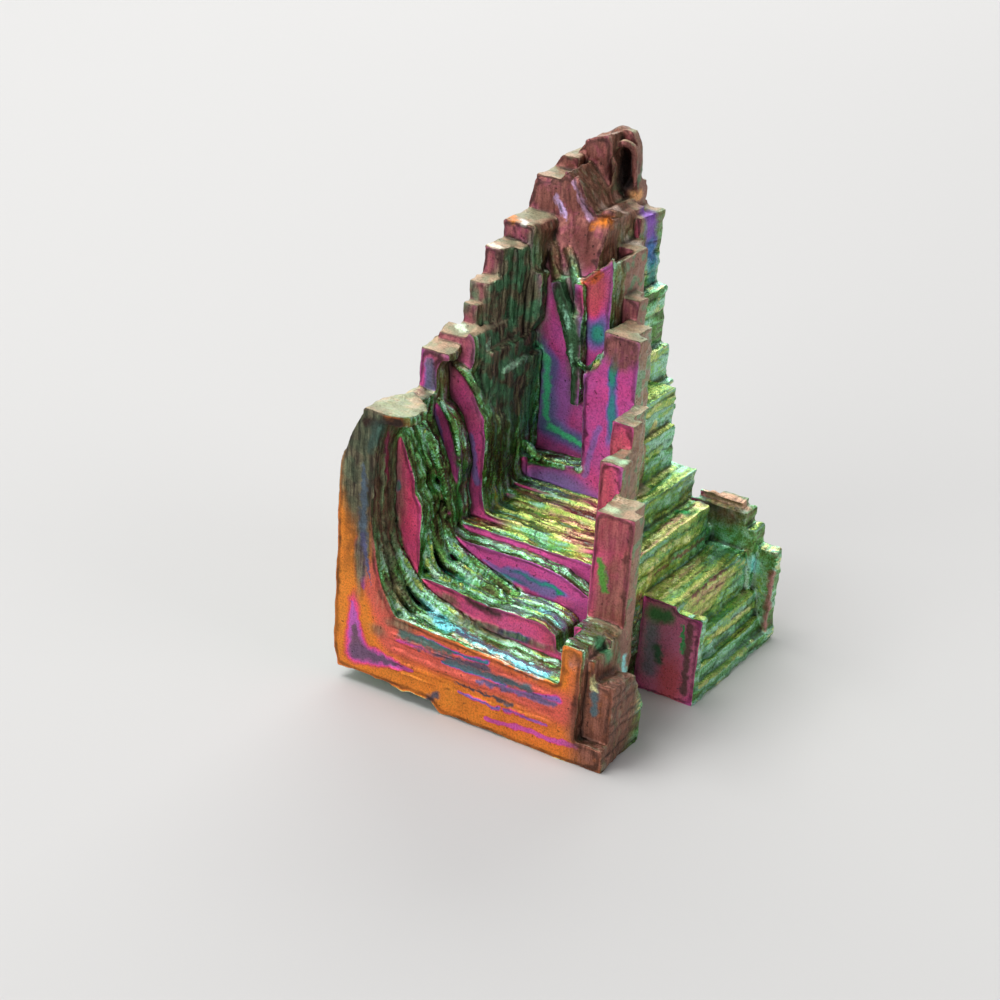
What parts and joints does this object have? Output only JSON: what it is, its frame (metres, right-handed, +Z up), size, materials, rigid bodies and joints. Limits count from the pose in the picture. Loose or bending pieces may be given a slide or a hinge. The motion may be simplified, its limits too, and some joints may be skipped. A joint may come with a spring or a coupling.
{
  "type": "bismuth hopper crystal",
  "caption": "Stepped skeletal bismuth crystal with a terraced hopper in front, a staircase down one side and a tall rear spire; it rests on flat feet.",
  "frame": {"origin": "middle of the box that the crystal stands on, at the height of its feet", "axes": "+Z up along the spire, +Y from the open front hopper to the rear, +X towards the stepped right hand face"},
  "size_m": [0.0256, 0.0284, 0.0412],
  "materials": {
    "bismuth_oxide": "metal under a thin iridescent oxide skin: orange, magenta, violet, teal and green by facet"
  },
  "bodies": {
    "root": {"bismuth_crystal": "bismuth_oxide"}
  },
  "joints": []
}
